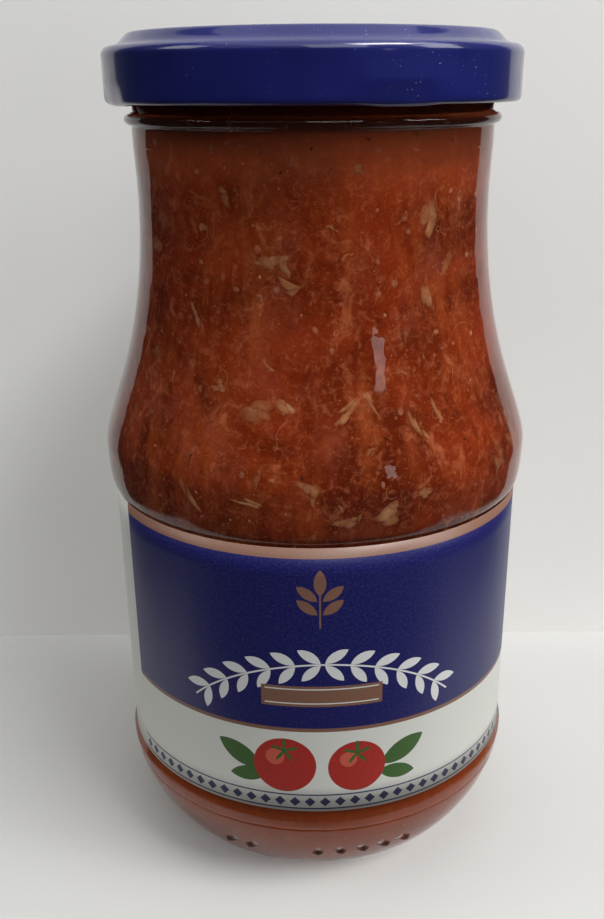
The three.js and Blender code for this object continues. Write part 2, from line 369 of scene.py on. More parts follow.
class Bits:
    """Many small pieces of one kind, gathered as one mesh that lies against the glass."""

    # A chip's rings and edge waves, how far its rim and keel go down, in lifts, and how fast it fades
    RINGS = (0.0, 0.4, 0.7, 0.88, 1.0)
    WAVES = (2, 3, 5, 7)
    RIM_DROP, KEEL, FADE = 1.6, 1.2, 1.3
    # A slice's chips, as shares of its length, and a thread's section
    SLICE_CHIPS = (0.95, 0.6, 0.45)
    THREAD_SIDES, THREAD_STEPS, THREAD_SHOWING = 5, 14, 0.8

    def __init__(self, draw):
        self.draw = draw
        self.verts, self.faces, self.showing = [], [], []

    def place(self, angle, height, across, up, out):
        """A point near a place on the sauce, by its way along the surface and out of it."""
        z = height + up
        return around(sauce_radius(z) + out, angle + across / sauce_radius(height), z)

    def chip(self, angle, height, length, width, tilt, bend, lift, ragged, sides, clear=1.0):
        """A low dome with an uneven edge, whose rim goes under the sauce; the less clear, the more veiled."""
        draw = self.draw
        waves = [(draw.uniform(0.3, 1) * ragged / k, draw.uniform(0, math.tau), k) for k in self.WAVES]
        first = len(self.verts)
        for share in self.RINGS:
            for j in range(sides if share else 1):
                a = math.tau * j / sides
                edge = 1 + sum(size * math.sin(k * a + phase) for size, phase, k in waves)
                x = share * edge * length / 2 * math.cos(a)
                y = share * edge * width / 2 * math.sin(a) + bend * (2 * x / length) ** 2
                rise = lift * (1 - self.RIM_DROP * share**4)
                across = x * math.cos(tilt) - y * math.sin(tilt)
                up = x * math.sin(tilt) + y * math.cos(tilt)
                self.verts.append(self.place(angle, height, across, up, rise))
                self.showing.append(clear * max(0.0, 1 - self.FADE * share**4))
        self.verts.append(self.place(angle, height, 0, bend / 2, -self.KEEL * lift))
        self.showing.append(0)
        for j in range(sides):
            k = (j + 1) % sides
            self.faces.append((first, first + 1 + j, first + 1 + k))
            for ring in range(len(self.RINGS) - 2):
                low = first + 1 + ring * sides
                self.faces.append((low + j, low + sides + j, low + sides + k, low + k))
            last = first + 1 + (len(self.RINGS) - 2) * sides
            self.faces.append((last + j, len(self.verts) - 1, last + k))

    def slice(self, angle, height, length, width, tilt, bend, clear):
        """A torn slice: a few ragged chips that overlap."""
        draw = self.draw
        for share in self.SLICE_CHIPS:
            across, up = draw.gauss(0, 0.2) * length, draw.gauss(0, 0.22) * width
            turn = tilt + draw.gauss(0, 0.45) * (1 - share)
            a = angle + (across * math.cos(tilt) - up * math.sin(tilt)) / sauce_radius(height)
            z = height + across * math.sin(tilt) + up * math.cos(tilt)
            wide = min(width, share * length) * draw.uniform(0.5, 0.95)
            shown = clear * draw.uniform(0.6, 1.0)
            lift = draw.uniform(0.03, 0.07)
            long, curve = share * length, share * bend
            self.chip(a, z, long, wide, turn, curve, lift, ragged=0.45, sides=20, clear=shown)

    def thread(self, angle, height, length, radius, curl):
        """A fine fibre that wanders over the surface."""
        draw, sides, steps = self.draw, self.THREAD_SIDES, self.THREAD_STEPS
        heading, turn = draw.uniform(0, math.tau), draw.uniform(-curl, curl)
        across = up = 0.0
        first = len(self.verts)
        for i in range(steps + 1):
            taper = math.sin(math.pi * (i + 0.3) / (steps + 0.6)) ** 0.4
            side = (-math.sin(heading), math.cos(heading))
            for j in range(sides):
                a = math.tau * j / sides
                off, out = radius * taper * math.cos(a), radius * taper * math.sin(a)
                self.verts.append(self.place(angle, height, across + side[0] * off, up + side[1] * off, out))
                self.showing.append(self.THREAD_SHOWING)
            turn += draw.uniform(-curl, curl)
            heading += turn * 0.5
            across += length / steps * math.cos(heading)
            up += length / steps * math.sin(heading)
        for i in range(steps):
            for j in range(sides):
                k = (j + 1) % sides
                low, high = first + i * sides, first + (i + 1) * sides
                self.faces.append((low + j, low + k, high + k, high + j))
        self.faces.append(tuple(first + j for j in reversed(range(sides))))
        self.faces.append(tuple(first + steps * sides + j for j in range(sides)))

    def make(self, name):
        piece = new_object(name, self.verts, self.faces)
        showing = piece.data.attributes.new("showing", "FLOAT", "POINT")
        showing.data.foreach_set("value", self.showing)
        return piece


def open_place(draw):
    """A random place on the sauce that the label doesn't hide, as an angle and a height."""
    above, below = FILL_HEIGHT - LABEL_TOP, LABEL_BOTTOM - FLOOR_HEIGHT
    z = draw.uniform(0, above + HEEL_SHARE * below)
    height = LABEL_TOP - LABEL_TUCK + z if z < above else FLOOR_HEIGHT + PLACE_MARGIN + (z - above)
    return draw.uniform(-math.pi, math.pi), min(height, FILL_HEIGHT - PLACE_MARGIN)


# The larger mushroom slices at the front: angle, height, length, width, tilt in degrees, bend
FRONT_SLICES = (
    (37.8, 117.7, 6.2, 2.9, 78, 0.2),
    (-12.5, 111.6, 5.0, 2.0, 8, 0.3),
    (-9.5, 110.6, 4.2, 1.3, -62, 0.2),
    (-7.0, 107.4, 4.4, 1.5, -28, 0.3),
    (-16.0, 89.8, 6.0, 3.0, 4, -0.5),
    (-8.0, 90.6, 3.6, 1.2, -35, 0.1),
    (8.0, 89.2, 5.2, 1.5, 42, 0.2),
    (16.0, 90.4, 4.4, 1.0, -60, 0.2),
    (28.0, 86.5, 5.4, 1.1, -62, 0.3),
    (36.0, 86.9, 4.8, 1.0, -70, 0.2),
    (-2.5, 78.8, 3.8, 1.9, -14, 0.4),
    (-16.0, 76.0, 5.2, 0.9, -8, 0.2),
    (18.8, 73.4, 4.6, 3.0, 40, 0.8),
    (7.0, 73.2, 3.8, 1.6, 16, 0.4),
    (29.0, 77.0, 3.0, 2.0, 10, 0.2),
    (-34.0, 76.5, 5.5, 1.0, -48, 0.2),
    (12.8, 124.2, 1.8, 1.6, 30, 0.0),
    (-35.5, 115.6, 1.7, 1.5, 60, 0.0),
    (-28.0, 120.0, 3.2, 1.4, -68, 0.2),
    (-39.5, 103.0, 4.6, 1.2, -58, 0.3),
    (-27.5, 92.2, 2.3, 2.2, 0, 0.0),
    (38.2, 104.6, 3.0, 2.6, 70, 0.4),
)


def make_mushrooms():
    draw = random.Random(SEED)
    bits = Bits(draw)
    for angle, height, length, width, tilt, bend in FRONT_SLICES:
        angle, tilt, clear = math.radians(angle), math.radians(tilt), draw.uniform(0.6, 0.85)
        bits.slice(angle, height, length, width, tilt, bend, clear)
    for _ in range(MUSHROOM_COUNT):
        angle, height = open_place(draw)
        length = draw.uniform(*(MUSHROOM_LENGTHS if abs(angle) > FRONT_REACH else FRONT_LENGTHS))
        wide, tilt, bend = length * draw.uniform(0.2, 0.6), draw.uniform(0, math.pi), draw.uniform(-0.6, 0.6)
        bits.slice(angle, height, length, wide, tilt, bend, draw.uniform(0.15, 0.55))
    return bits.make("mushroom_pieces")


def make_onions():
    draw = random.Random(SEED + 1)
    bits = Bits(draw)
    for _ in range(ONION_COUNT):
        angle, height = open_place(draw)
        length = ONION_LEAST + ONION_SPREAD * draw.random() ** ONION_POWER
        wide, tilt, shown = length * draw.uniform(0.6, 1), draw.uniform(0, math.pi), draw.uniform(0.25, 1)
        bits.chip(angle, height, length, wide, tilt, bend=0, lift=0.05, ragged=0.2, sides=10, clear=shown)
    return bits.make("onion_pieces")


def make_herbs():
    draw = random.Random(SEED + 2)
    bits = Bits(draw)
    for _ in range(HERB_COUNT):
        angle, height = open_place(draw)
        length = draw.uniform(*HERB_LENGTHS)
        wide, tilt = length * draw.uniform(0.3, 0.8), draw.uniform(0, math.pi)
        bits.chip(angle, height, length, wide, tilt, bend=0, lift=0.1, ragged=0.3, sides=9)
    return bits.make("herb_flecks")


def make_fibres():
    draw = random.Random(SEED + 3)
    bits = Bits(draw)
    for _ in range(FIBRE_COUNT):
        angle, height = open_place(draw)
        length, radius = draw.uniform(*FIBRE_LENGTHS), draw.uniform(*FIBRE_RADII)
        bits.thread(angle, height, length, radius, draw.uniform(*FIBRE_CURLS))
    return bits.make("pulp_fibres")


# The lid


def lid_crown(depth):
    """From the middle of the panel to the top of the skirt, set in from the outside by a depth."""
    top = LID_TOP - depth
    panel = top - LID_PANEL_DROP
    shoulder_top = LID_SHOULDER_HEIGHT - depth
    step = bezier(
        (BUTTON_RADIUS, panel - BUTTON_SINK),
        (BUTTON_RADIUS + BUTTON_EDGE / 2, panel - BUTTON_SINK),
        (BUTTON_RADIUS + BUTTON_EDGE / 2, panel),
        (BUTTON_RADIUS + BUTTON_EDGE, panel),
        even(6),
    )
    ramp = bezier(
        (LID_PANEL_RADIUS, panel),
        (LID_PANEL_RADIUS + RAMP_LEAD, panel),
        (RING_INNER_RADIUS - RAMP_TRAIL, top),
        (RING_INNER_RADIUS, top),
        even(8),
    )
    ring = arc(RING_OUTER_RADIUS - RING_ROUND, top - RING_ROUND, RING_ROUND, 90, 45, 8)
    slope_radius, slope_height = ring[-1]
    foot_radius = RING_FOOT_RADIUS - depth
    foot = bezier(
        ring[-1],
        (slope_radius + RING_FOOT_LEAD, slope_height - RING_FOOT_LEAD),
        (foot_radius + RING_FOOT_BEFORE[0], shoulder_top + RING_FOOT_BEFORE[1]),
        (foot_radius + RING_FOOT_AFTER[0], shoulder_top + RING_FOOT_AFTER[1]),
        even(12),
    )
    bend_radius, bend_height = LID_RADIUS - LID_SHOULDER_ROUND, LID_SHOULDER_HEIGHT - LID_SHOULDER_ROUND
    return [
        (0, panel - BUTTON_SINK - BUTTON_DISH),
        (BUTTON_RADIUS / 2, panel - BUTTON_SINK - BUTTON_HALF_DISH),
        *step,
        ((BUTTON_RADIUS + LID_PANEL_RADIUS) / 2, panel),
        *ramp,
        *ring,
        *foot,
        *arc(bend_radius, bend_height, LID_SHOULDER_ROUND - depth, LID_SHOULDER_START, 0, 9),
    ]


def lid_curl():
    """The rolled lower edge, from the inside of the skirt round to its outside, and the skirt itself."""
    middle = LID_CURL_RADIUS - CURL_ROUND
    return [
        (LID_CURL_RADIUS - LID_STEEL, LID_BOTTOM + 3 * CURL_ROUND),
        (middle - 0.3 * CURL_ROUND, LID_BOTTOM + 2 * CURL_ROUND),
        *arc(middle, LID_BOTTOM + CURL_ROUND, CURL_ROUND, 140, 360, 16),
        *line(SKIRT_FOOT, SKIRT_HEAD, 12),
    ]


def lid_lugs(angle, radius, height):
    """The curl is pressed inwards at each lug, which also dents the skirt a little and draws the edge down."""
    turn = math.tau / LUG_COUNT
    off = (angle - LUG_ANGLE + turn / 2) % turn - turn / 2
    near = math.exp(-((off / LUG_SPAN) ** 4))
    low = max(0.0, 1 - (height - LID_BOTTOM) / LUG_TALL)
    inner = max(0.0, min(1.0, (LID_CURL_RADIUS - LUG_EDGE - radius) / CURL_ROUND))
    flat = LUG_REACH * inner * min(1.0, low * 2)
    return -near * (flat + LUG_DENT * low**0.8), -near * LUG_DROP * low**2


def make_lid():
    outline = lid_crown(LID_STEEL) + lid_curl() + lid_crown(0)[::-1]
    return turned("lid_shell", outline, even_angles(LID_STEPS), lid_lugs)


# The label


def lap_lift(angle):
    """How far the label's end is lifted by its start, which lies under it."""
    t = (angle - (math.pi - LAP_START * LABEL_LAP)) / (LAP_RISE * LABEL_LAP)
    t = max(0.0, min(1.0, t))
    return LAP_LIFT * t * t * (3 - 2 * t)


def strip_faces(columns, rows):
    """Faces of a closed strip, whose outer points come row by row and are followed by its inner ones."""
    wide, half = columns + 1, (columns + 1) * (rows + 1)
    faces = []
    for i in range(rows):
        for j in range(columns):
            a, d = i * wide + j, (i + 1) * wide + j
            b, c = a + 1, d + 1
            faces += [(a, b, c, d), (half + a, half + d, half + c, half + b)]
    edge = [*range(wide), *[(i + 1) * wide - 1 for i in range(1, rows + 1)]]
    edge += [*reversed(range(rows * wide, half - 1)), *[i * wide for i in reversed(range(rows))]]
    return faces + [(b, a, half + a, half + b) for a, b in zip(edge, edge[1:])]


def make_label():
    """A closed strip of paper wrapped once round the jar, whose end lies over its start at the back."""
    angles = between(-math.pi - LABEL_LAP, math.pi, LABEL_COLUMNS)
    heights = between(LABEL_BOTTOM, LABEL_TOP, LABEL_ROWS)
    places = [(depth, a, z) for depth in (0, SHEET) for z in heights for a in angles]
    verts = [around(LABEL_RADIUS + lap_lift(a) - depth, a, z) for depth, a, z in places]
    piece = new_object("label_paper", verts, strip_faces(LABEL_COLUMNS, LABEL_ROWS))
    layer = piece.data.uv_layers.new(name="Print")
    for loop in piece.data.loops:
        _, angle, height = places[loop.vertex_index]
        layer.data[loop.index].uv = (angle * LABEL_RADIUS, height - LABEL_BOTTOM)
    return piece


# Materials


class Paint:
    """One material's nodes, with short names for those used here."""

    def __init__(self, name):
        self.material = bpy.data.materials.new(name)
        self.material.use_nodes = True
        self.tree = self.material.node_tree
        self.tree.nodes.clear()
        self.end = self.add("ShaderNodeOutputMaterial")

    def add(self, kind, **settings):
        """A new node with its settings."""
        node = self.tree.nodes.new(kind)
        for key, value in settings.items():
            setattr(node, key, value)
        return node

    def feed(self, socket, value):
        """Links a socket to another one, or sets its value."""
        if isinstance(value, bpy.types.NodeSocket):
            self.tree.links.new(value, socket)
        else:
            socket.default_value = value

    def math(self, operation, *values, clamp=False):
        node = self.add("ShaderNodeMath", operation=operation, use_clamp=clamp)
        for socket, value in zip(node.inputs, values):
            self.feed(socket, value)
        return node.outputs[0]

    def vector(self, operation, *values):
        node = self.add("ShaderNodeVectorMath", operation=operation)
        for socket, value in zip(node.inputs, values):
            self.feed(socket, value)
        return node.outputs["Value" if operation in ("DISTANCE", "LENGTH") else "Vector"]

    def place(self, stretch=(1, 1, 1)):
        """The point's place in millimetres, with each axis scaled."""
        node = self.add("ShaderNodeTexCoord")
        return self.vector("MULTIPLY", node.outputs["Object"], [s / MM for s in stretch])

    def split(self, vector):
        """A vector's first two parts."""
        node = self.add("ShaderNodeSeparateXYZ")
        self.feed(node.inputs[0], vector)
        return node.outputs[0], node.outputs[1]

    def height(self):
        """The point's height in millimetres."""
        node = self.add("ShaderNodeSeparateXYZ")
        self.feed(node.inputs[0], self.place())
        return node.outputs[2]

    def noise(self, vector, size, detail, roughness, distortion=0.0):
        """Noise of a size in millimetres."""
        node = self.add("ShaderNodeTexNoise")
        self.feed(node.inputs["Vector"], vector)
        values = {"Scale": 1 / size, "Detail": detail, "Roughness": roughness, "Distortion": distortion}
        for name, value in values.items():
            node.inputs[name].default_value = value
        return node.outputs[0]

    def step(self, value, low, high, start=0.0, end=1.0):
        """A smooth step of a value between two levels."""
        node = self.add("ShaderNodeMapRange", interpolation_type="SMOOTHSTEP")
        for socket, v in zip(node.inputs, (value, low, high, start, end)):
            self.feed(socket, v)
        return node.outputs[0]

    def blend(self, share, under, over):
        """One colour laid over another by a share."""
        node = self.add("ShaderNodeMix", data_type="RGBA")
        for index, value in ((0, share), (6, under), (7, over)):
            self.feed(node.inputs[index], colour(value) if isinstance(value, tuple) else value)
        return node.outputs[2]

    def bump(self, height, strength, distance):
        """A normal from a height, whose distance is in millimetres."""
        node = self.add("ShaderNodeBump")
        for name, value in (("Height", height), ("Strength", strength), ("Distance", distance * MM)):
            self.feed(node.inputs[name], value)
        return node.outputs[0]

    def surface(self, **sockets):
        """A Principled shader with its sockets set by name, underscores for spaces."""
        node = self.add("ShaderNodeBsdfPrincipled")
        for name, value in sockets.items():
            value = colour(value) if name == "Base_Color" and isinstance(value, tuple) else value
            self.feed(node.inputs[name.replace("_", " ")], value)
        return node.outputs[0]

    def done(self, shader):
        self.feed(self.end.inputs["Surface"], shader)
        return self.material


def colour(rgb):
    """A colour with full cover, as the sockets want it."""
    return (*rgb, 1.0)


def scaled(rgb, share):
    """A colour made lighter or darker."""
    return tuple(c * share for c in rgb)


# Linear colours
GLASS_TINT = (0.97, 0.985, 0.975)
SAUCE_DEEP = (0.06, 0.006, 0.0014)
SAUCE_RED = (0.148, 0.0176, 0.004)
SAUCE_ORANGE = (0.256, 0.0512, 0.0112)
SAUCE_PINK = (0.24, 0.056, 0.0304)
SAUCE_PALE = (0.35, 0.11, 0.045)
# Painted light: the paler sauce colour at the heel, standing in for light that comes in through the thick
# glass heel
SAUCE_HEEL_LIGHT = (0.42, 0.085, 0.024)
# Painted light: the paler sauce colour at the neck, standing in for light that reaches under the lid through
# the glass
SAUCE_NECK_LIGHT = (0.3, 0.06, 0.02)
MUSHROOM_TAN = (0.352, 0.136, 0.044)
MUSHROOM_PALE = (0.4, 0.188, 0.088)
ONION_PALE = (0.368, 0.152, 0.096)
HERB_DARK = (0.024, 0.0144, 0.0048)
FIBRE_PALE = (0.4, 0.176, 0.088)
NAVY = (0.0066, 0.0066, 0.104)
COPPER = (0.2176, 0.1054, 0.068)
CREAM = (0.71, 0.71, 0.66)
WHITE = (0.738, 0.747, 0.738)
TOMATO_RED = (0.4, 0.024, 0.016)
TOMATO_LIGHT = (0.576, 0.104, 0.064)
LEAF_GREEN = (0.048, 0.12, 0.024)
GREY = (0.25, 0.25, 0.27)
LACQUER = (0.0084, 0.01116, 0.1044)
BACKDROP = (0.86, 0.855, 0.835)
GROUND = (0.57, 0.567, 0.553)
STUDIO_DARK = (0.03, 0.03, 0.032)

# The glass is slightly crinkled at the bulge: where that starts and ends, and its share of the relief
CRINKLE_START, CRINKLE_END, CRINKLE_SHARE = (72.0, 80.0), (86.0, 96.0), 0.14


def glass_material():
    """Clear glass with soft waves and smudges, which lets the lamps' light through to what it holds."""
    paint = Paint("clear_glass")
    ripple = paint.noise(paint.place((1, 1, 0.55)), 8.0, 3.0, 0.55)
    smudge = paint.noise(paint.place(), 14.0, 4.0, 0.6)
    height = paint.height()
    bulge = paint.math("MULTIPLY", paint.step(height, *CRINKLE_START), paint.step(height, *CRINKLE_END[::-1]))
    crinkle = paint.math("MULTIPLY", paint.noise(paint.place(), 1.3, 3.0, 0.6), bulge)
    body = paint.surface(
        Base_Color=GLASS_TINT,
        Transmission_Weight=1.0,
        IOR=1.42,
        Roughness=paint.step(smudge, 0.45, 0.75, 0.01, 0.09),
        Normal=paint.bump(paint.math("MULTIPLY_ADD", crinkle, CRINKLE_SHARE, ripple), 0.45, 0.3),
    )
    light_path = paint.add("ShaderNodeLightPath")
    mix = paint.add("ShaderNodeMixShader")
    paint.feed(mix.inputs[0], light_path.outputs["Is Shadow Ray"])
    paint.feed(mix.inputs[1], body)
    paint.feed(mix.inputs[2], paint.add("ShaderNodeBsdfTransparent").outputs[0])
    return paint.done(mix.outputs[0])


def sauce_colour(paint):
    """Thick sauce: dark red and orange clouds, upright smears and pale pulp, with painted light that makes it
    paler at heel and neck.
    """
    place, height = paint.place(), paint.height()
    cloud = paint.noise(place, 16.0, 4.0, 0.6, 0.6)
    smear = paint.noise(paint.place((1, 1, 0.14)), 5.5, 4.0, 0.6, 0.6)
    haze = paint.noise(paint.place((1, 1, 0.5)), 8.0, 3.0, 0.6, 0.4)
    patch = paint.noise(paint.place((1, 1, 0.7)), 5.0, 5.0, 0.65, 0.8)
    pulp = paint.noise(place, 1.6, 5.0, 0.7, 0.6)
    fine = paint.noise(place, 0.5, 2.0, 0.6)
    layers = (
        (paint.step(smear, 0.45, 0.75, 0.0, 0.5), SAUCE_ORANGE),
        (paint.step(haze, 0.48, 0.75, 0.0, 0.3), SAUCE_PINK),
        (paint.step(patch, 0.57, 0.72, 0.0, 0.42), SAUCE_PALE),
        (paint.step(pulp, 0.47, 0.8, 0.0, 0.5), SAUCE_PALE),
        (paint.step(pulp, 0.46, 0.26, 0.0, 0.5), SAUCE_DEEP),
        (paint.step(fine, 0.56, 0.8, 0.0, 0.35), SAUCE_PALE),
        # Painted light: paler at the heel, in place of light that comes in through the thick glass heel
        (paint.step(height, HEEL_LIGHT_TOP, HEEL_LIGHT_LOW, 0.0, HEEL_LIGHT_SHARE), SAUCE_HEEL_LIGHT),
        # Painted light: paler at the neck, in place of light that reaches under the lid through the glass
        (paint.step(height, NECK_LIGHT_LOW, NECK_LIGHT_TOP, 0.0, NECK_LIGHT_SHARE), SAUCE_NECK_LIGHT),
    )
    base = paint.blend(paint.step(cloud, 0.34, 0.66), SAUCE_DEEP, SAUCE_RED)
    for share, tone in layers:
        base = paint.blend(share, base, tone)
    return base


def thick(paint, base):
    """Light goes a little way into thick wet food, and there is no gloss where it meets the glass."""
    return paint.surface(
        Base_Color=base,
        Roughness=0.5,
        Specular_IOR_Level=0.0,
        Subsurface_Weight=0.3,
        Subsurface_Radius=(1.0, 0.35, 0.15),
        Subsurface_Scale=2.0 * MM,
    )


def sauce_material():
    paint = Paint("tomato_sauce")
    return paint.done(thick(paint, sauce_colour(paint)))


def sunk_material(name, dark, pale, grain, cover):
    """Food that fades into the sauce at its edges."""
    paint = Paint(name)
    showing = paint.add("ShaderNodeAttribute", attribute_name="showing").outputs["Fac"]
    mottle = paint.noise(paint.place(), grain, 4.0, 0.6)
    veil = paint.noise(paint.place(), 2.5 * grain, 3.0, 0.6)
    share = paint.math("MULTIPLY", showing, paint.step(veil, 0.25, 0.6, 0.35, cover), clamp=True)
    base = paint.blend(share, sauce_colour(paint), paint.blend(paint.step(mottle, 0.35, 0.65), dark, pale))
    return paint.done(thick(paint, base))


def mushroom_material():
    return sunk_material("mushroom", MUSHROOM_TAN, MUSHROOM_PALE, 1.6, 0.95)


def onion_material():
    return sunk_material("onion", SAUCE_PALE, ONION_PALE, 1.0, 0.9)


def herb_material():
    return sunk_material("herb", HERB_DARK, SAUCE_DEEP, 0.6, 1.0)


def fibre_material():
    return sunk_material("fibre", SAUCE_PALE, FIBRE_PALE, 1.2, 0.9)


def lid_material():
    """Glossy blue lacquer with a little pale dust."""
    paint = Paint("blue_lacquer")
    place = paint.place()
    tone = paint.noise(place, 12.0, 3.0, 0.5)
    dust = paint.noise(place, 0.35, 1.0, 0.5)
    patch = paint.noise(place, 6.0, 2.0, 0.5)
    specks = paint.math("MULTIPLY", paint.step(dust, 0.73, 0.78), paint.step(patch, 0.45, 0.65, 0.0, 0.5))
    base = paint.blend(paint.step(tone, 0.3, 0.7), LACQUER, scaled(LACQUER, 1.25))
    return paint.done(
        paint.surface(
            Base_Color=paint.blend(specks, base, CREAM),
            Roughness=paint.step(patch, 0.3, 0.7, 0.3, 0.4),
            Specular_IOR_Level=0.15,
            Coat_Weight=0.85,
            Coat_Roughness=0.09,
            Normal=paint.bump(paint.noise(place, 5.0, 2.0, 0.5), 0.12, 0.1),
        )
    )


class Print(Paint):
    """Printed shapes, measured in millimetres round the label from its middle and up from its lower edge."""

    def __init__(self, name):
        super().__init__(name)
        self.at = self.add("ShaderNodeUVMap", uv_map="Print").outputs[0]
        self.across, self.up = self.split(self.at)

    def join(self, across, up):
        node = self.add("ShaderNodeCombineXYZ")
        self.feed(node.inputs[0], across)
        self.feed(node.inputs[1], up)
        return node.outputs[0]

    def within(self, value, middle, half):
        return self.math("COMPARE", value, middle, half)

    def both(self, one, other):
        return self.math("MULTIPLY", one, other)

    def either(self, one, other):
        return self.math("MAXIMUM", one, other)

    def block(self, low, high):
        """A rectangle between two corners."""
        wide = self.within(self.across, (low[0] + high[0]) / 2, (high[0] - low[0]) / 2)
        return self.both(wide, self.within(self.up, (low[1] + high[1]) / 2, (high[1] - low[1]) / 2))

    def disc(self, middle, radius):
        return self.math("LESS_THAN", self.vector("DISTANCE", self.at, (*middle, 0)), radius)

    def leaf(self, at, middle, turn, length, width):
        """A pointed leaf about a middle, turned by an angle in degrees."""
        across, up = self.split(self.turned(at, middle, turn))
        swell = (length**2 + width**2) / (4 * width)
        away = self.vector("DISTANCE", self.join(across, self.math("ABSOLUTE", up)), (0, width / 2 - swell, 0))
        return self.math("LESS_THAN", away, swell)

    def turned(self, at, middle, turn):
        """Places about a middle, turned back by an angle in degrees."""
        node = self.add("ShaderNodeVectorRotate", rotation_type="Z_AXIS")
        self.feed(node.inputs["Vector"], self.vector("SUBTRACT", at, (*middle, 0)))
        node.inputs["Angle"].default_value = -math.radians(turn)
        return node.outputs[0]

    def star(self, middle, points, small, large, turn):
        """A star with round valleys, such as a tomato's green crown."""
        across, up = self.split(self.turned(self.at, middle, turn))
        angle = self.math("MULTIPLY", self.math("ARCTAN2", up, across), points)
        wave = self.math("POWER", self.math("MULTIPLY_ADD", self.math("COSINE", angle), 0.5, 0.5), 2.5)
        reach = self.math("MULTIPLY_ADD", wave, large - small, small)
        away = self.vector("LENGTH", self.join(across, up))
        return self.math("LESS_THAN", away, reach)


# The fields of colour and the rules at the back
FIELD_LEFT, FIELD_RIGHT = -39.5, 66.0
STRIP_LOW = 48.1
BAND_TOP, BAND_LINE = 16.6, 0.7
RULE_PITCH, RULE_HALF = 2.4, 0.2
RULES_MIDDLE, RULES_HALF = 26.0, 17.0
RULES_LEFT, RULES_RIGHT = (-80.0, 26.0), (88.0, 16.0)

# The shapes; a leaf has a turn in degrees, a length and a width
GARLAND_MIDDLE, GARLAND_RADIUS = (1.0, -4.0), 33.2
GARLAND_REACH, GARLAND_PITCH = math.radians(43.5), 4.2
GARLAND_LEAF, GARLAND_LEAF_OFF, GARLAND_STEM = (38, 4.4, 1.7), 1.55, 0.16
SPRIG_MIDDLE, SPRIG_FOOT, SPRIG_TOP, SPRIG_STEM = 0.6, 35.9, 43.9, 0.15
SPRIG_TIP, SPRIG_LEAF = (90, 4.6, 2.0), (38, 4.2, 1.7)
SPRIG_LEAF_OFF, SPRIG_PAIRS = 2.1, (39.6, 42.0)
PLAQUE_LOW, PLAQUE_HIGH, PLAQUE_INSET = (-9.3, 21.2), (11.0, 25.1), 0.6
PLAQUE_LINES, PLAQUE_LINE = (21.7, 24.4), 0.22
FRIEZE_PITCH, FRIEZE_MIDDLE, LOZENGE_HALF = 2.6, 2.0, 0.95
FRIEZE_LINES, FRIEZE_LINE_HALF = (0.6, 3.4), 0.14
TOMATOES = (((-5.6, 9.4), 5.4), ((6.8, 9.0), 5.0))
TOMATO_SHINE, CROWN_RISE, CROWN_POINTS, CROWN_SIZES = 0.3, 0.55, 5, (0.5, 2.4)
TOMATO_LEAVES = (((-13.5, 10.6), 150, 9), ((15.0, 10.8), 28, 9), ((-12.0, 6.8), 190, 7), ((14.0, 6.6), -12, 7))
TOMATO_LEAF_WIDTH = 0.42


def back_rules(ink):
    """Plain rules at the back, where text would stand."""
    rules = ink.within(ink.math("WRAP", ink.up, RULE_PITCH, 0.0), RULE_PITCH / 2, RULE_HALF)
    rules = ink.both(rules, ink.within(ink.up, RULES_MIDDLE, RULES_HALF))
    columns = ink.either(ink.within(ink.across, *RULES_LEFT), ink.within(ink.across, *RULES_RIGHT))
    return ink.both(rules, columns)


def garland(ink):
    """Leaves in pairs along an arch."""
    from_middle = ink.vector("SUBTRACT", ink.at, (*GARLAND_MIDDLE, 0))
    across, up = ink.split(from_middle)
    turn = ink.math("ABSOLUTE", ink.math("ARCTAN2", across, up))
    along = ink.math("MULTIPLY", turn, GARLAND_RADIUS)
    off = ink.math("SUBTRACT", ink.vector("LENGTH", from_middle), GARLAND_RADIUS)
    local = ink.join(ink.math("WRAP", along, GARLAND_PITCH, 0.0), ink.math("ABSOLUTE", off))
    leaves = ink.leaf(local, (GARLAND_PITCH / 2, GARLAND_LEAF_OFF), *GARLAND_LEAF)
    stem = ink.within(off, 0.0, GARLAND_STEM)
    return ink.both(ink.either(leaves, stem), ink.math("LESS_THAN", turn, GARLAND_REACH))


def sprig(ink):
    """A twig with two pairs of leaves and one at its tip."""
    at = ink.join(ink.math("ABSOLUTE", ink.math("SUBTRACT", ink.across, SPRIG_MIDDLE)), ink.up)
    shape = ink.leaf(at, (0, SPRIG_TOP), *SPRIG_TIP)
    for height in SPRIG_PAIRS:
        shape = ink.either(shape, ink.leaf(at, (SPRIG_LEAF_OFF, height), *SPRIG_LEAF))
    stem = ink.block((SPRIG_MIDDLE - SPRIG_STEM, SPRIG_FOOT), (SPRIG_MIDDLE + SPRIG_STEM, SPRIG_TOP))
    return ink.either(shape, stem)


def plaque(ink, page):
    """A bare copper plate with two pale lines."""
    page = ink.blend(ink.block(PLAQUE_LOW, PLAQUE_HIGH), page, COPPER)
    left, right = PLAQUE_LOW[0] + PLAQUE_INSET, PLAQUE_HIGH[0] - PLAQUE_INSET
    for low in PLAQUE_LINES:
        page = ink.blend(ink.block((left, low), (right, low + PLAQUE_LINE)), page, CREAM)
    return page


def frieze(ink):
    """Lozenges in a row between two lines."""
    along = ink.math("SUBTRACT", ink.math("WRAP", ink.across, FRIEZE_PITCH, 0.0), FRIEZE_PITCH / 2)
    above = ink.math("SUBTRACT", ink.up, FRIEZE_MIDDLE)
    away = ink.math("ADD", ink.math("ABSOLUTE", along), ink.math("ABSOLUTE", above))
    shape = ink.math("LESS_THAN", away, LOZENGE_HALF)
    for height in FRIEZE_LINES:
        shape = ink.either(shape, ink.within(ink.up, height, FRIEZE_LINE_HALF))
    return shape


